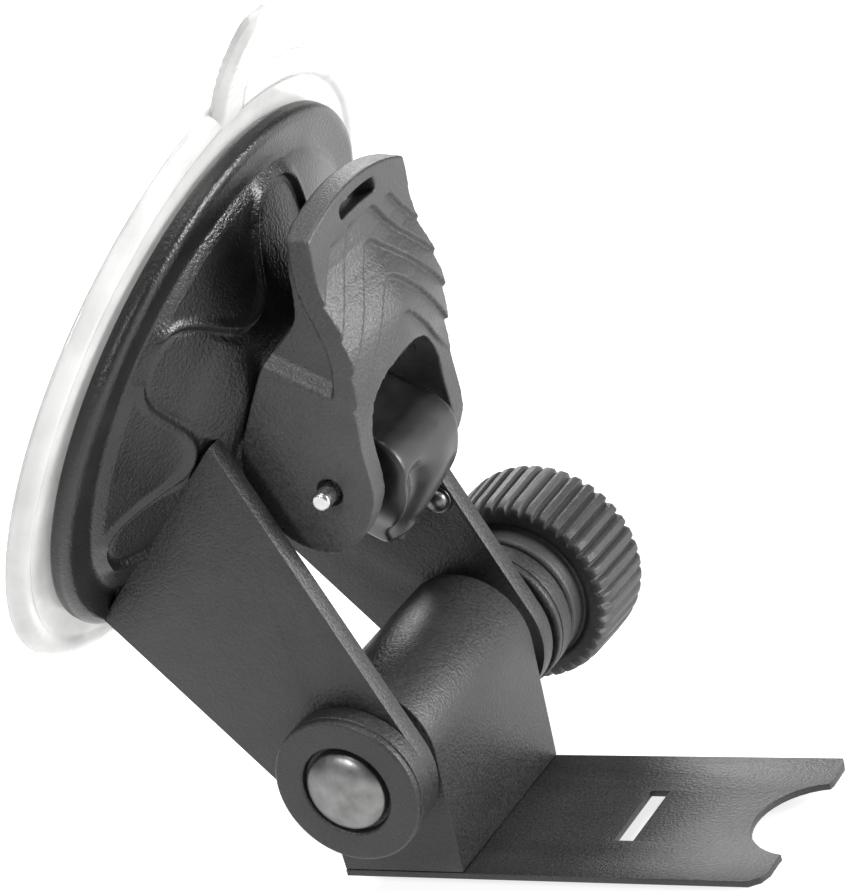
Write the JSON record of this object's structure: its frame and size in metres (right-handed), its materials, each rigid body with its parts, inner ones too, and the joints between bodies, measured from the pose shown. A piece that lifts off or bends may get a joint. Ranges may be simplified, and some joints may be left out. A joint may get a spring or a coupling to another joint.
{
  "type": "windscreen suction mount",
  "caption": "Windscreen suction mount: clear cup with cam lever, two plate arms, knob-locked tilting knuckle and a slotted flat plate for a small camera.",
  "frame": {"origin": "centre of the suction face, where the cup's axis meets the glass", "axes": "+Z square to the flat camera plate and out of its upper face, +Y along the pivot bolt towards the knob, +X along the plate away from the cup; the cup's axis lies in the XZ plane, 29.6 degrees below +X"},
  "size_m": [0.0908, 0.0838, 0.1177],
  "materials": {
    "clear_pvc": "clear soft PVC, glossy",
    "cover_abs": "satin black",
    "head_abs": "smooth black",
    "lever_nylon": "fine satin black",
    "powder_coat": "fine textured black powder coat",
    "knob_rubber": "matt black, ribbed",
    "bright_steel": "plated steel",
    "dark_steel": "black-plated steel",
    "white_nylon": "natural nylon"
  },
  "bodies": {
    "base": {"suction_cup": "clear_pvc", "base_cover": "cover_abs", "near_arm": "powder_coat", "far_arm": "powder_coat", "arm_screw_1": "dark_steel", "arm_screw_2": "dark_steel", "arm_screw_3": "dark_steel", "arm_screw_4": "dark_steel", "stop_rivet": "dark_steel", "release_spring": "bright_steel", "pivot_bolt": "bright_steel", "near_washer": "powder_coat", "far_shim": "white_nylon", "far_washer": "powder_coat", "lock_washer": "dark_steel"},
    "plunger": {"cup_stud": "bright_steel", "stud_head": "head_abs", "lever_pin": "bright_steel", "near_pin_washer": "white_nylon", "far_pin_washer": "white_nylon"},
    "lever": {"lock_lever": "lever_nylon"},
    "bracket": {"knuckle_block": "powder_coat", "near_bush": "white_nylon", "far_bush": "white_nylon", "camera_plate": "powder_coat", "plate_screw_1": "dark_steel", "plate_screw_2": "dark_steel"},
    "knob": {"knob": "knob_rubber", "knob_nut": "bright_steel"}
  },
  "joints": [
    {"name": "plunger_slide", "type": "slide", "parent": "base", "child": "plunger", "axis": [0.8695, 0, -0.4939], "range_m": [-0.0034, 0], "deforming": ["release_spring", "suction_cup"]},
    {"name": "lever_swing", "type": "hinge", "parent": "plunger", "child": "lever", "pos_m": [0.02435, 0, -0.01383], "axis": [0, 1, 0], "range_deg": [0, 95]},
    {"name": "camera_tilt", "type": "hinge", "parent": "base", "child": "bracket", "pos_m": [0.0208, 0, -0.05029], "axis": [0, -1, 0], "range_deg": [-135, 60]},
    {"name": "knob_turn", "type": "hinge", "parent": "base", "child": "knob", "pos_m": [0.0208, 0, -0.05029], "axis": [0, 1, 0], "continuous": true}
  ],
  "couplings": [
    {"joint": "lever_swing", "follows": "plunger_slide", "rad_per_m": -487.6}
  ]
}
